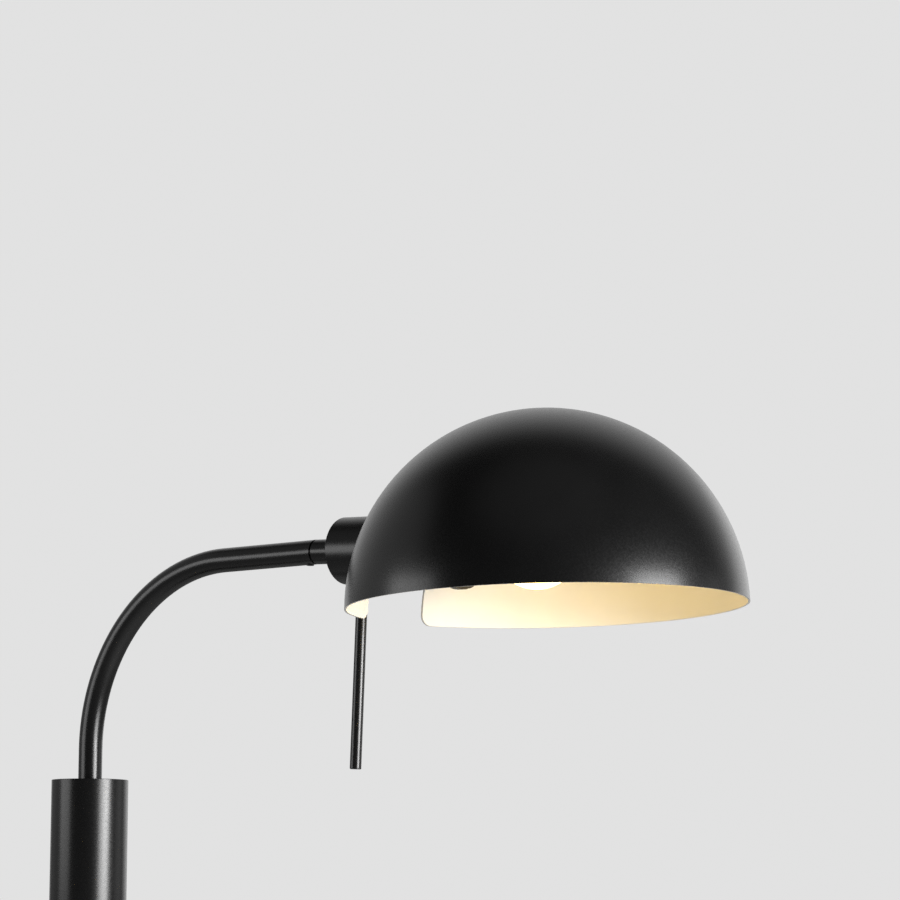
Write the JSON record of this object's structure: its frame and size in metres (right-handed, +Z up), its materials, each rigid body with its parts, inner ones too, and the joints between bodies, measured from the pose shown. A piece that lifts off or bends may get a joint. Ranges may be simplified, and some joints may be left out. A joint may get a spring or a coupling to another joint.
{
  "type": "wall reading lamp",
  "caption": "Bedside wall reading lamp: upright tube base, swinging bent arm, and a domed shade on a drum that a thin rod turns.",
  "frame": {"origin": "centre of the two wall screw holes, on the wall plate's back face", "axes": "+Y into the wall, square to the plate's back face; +Z up; the lamp stands out along -Y"},
  "size_m": [0.2, 0.4456, 0.3332],
  "materials": {
    "black_coat": "satin",
    "black_steel": "satin",
    "black_plastic": "satin",
    "black_rubber": "matte",
    "zinc_steel": "satin",
    "nickel": "satin",
    "brass": "satin",
    "white_nylon": "satin",
    "cable_sheath": "matte",
    "opal_glass": "satin"
  },
  "bodies": {
    "base": {"wall_plate": "zinc_steel", "back_housing": "black_coat", "housing_screws": "black_steel", "base_tube": "black_coat", "inlet_grommet": "black_rubber", "cap_screws": "black_steel", "top_cap": "black_coat", "arm_bushing": "white_nylon", "thrust_washer": "white_nylon", "spring_washer": "zinc_steel", "bottom_cap": "black_coat", "chassis_plate": "zinc_steel", "chassis_screws": "zinc_steel", "earth_screw": "brass", "terminal_block": "white_nylon", "terminal_screws": "zinc_steel", "switch_body": "black_plastic", "switch_tags": "brass", "switch_nut": "zinc_steel", "base_leads": "cable_sheath"},
    "button": {"switch_button": "black_plastic"},
    "arm": {"arm_tube": "black_coat", "pivot_spindle": "zinc_steel", "tab_washer": "zinc_steel", "pivot_nuts": "zinc_steel", "arm_end_fitting": "brass", "stop_screw": "black_steel", "arm_cable": "cable_sheath", "friction_washer": "white_nylon"},
    "head": {"swivel_spindle": "black_coat", "drum_housing": "black_coat", "drum_lock_washer": "zinc_steel", "drum_nut": "zinc_steel", "drum_front_disc": "zinc_steel", "handle_rod": "black_coat", "handle_nut": "zinc_steel", "lampholder_cap": "black_plastic", "lampholder_body": "black_plastic", "lampholder_shell": "brass", "lampholder_contact": "brass", "shade_ring": "black_plastic", "head_leads": "cable_sheath", "bulb_cap": "nickel", "bulb_globe": "opal_glass", "shade": "black_coat", "shade_carrier": "zinc_steel", "shade_nuts": "zinc_steel"}
  },
  "joints": [
    {"name": "arm_swing", "type": "hinge", "parent": "base", "child": "arm", "pos_m": [0, -0.033, 0.087], "axis": [0, 0, 1], "range_deg": [-75, 75]},
    {"name": "head_roll", "type": "hinge", "parent": "arm", "child": "head", "pos_m": [0, -0.1955, 0.2189], "axis": [0, -0.9991, -0.0419], "range_deg": [-80, 80]},
    {"name": "switch_press", "type": "slide", "parent": "base", "child": "button", "axis": [0, 0, 1], "range_m": [0, 0.0025], "stiffness_N_per_m": 400, "springref_m": -0.002}
  ]
}
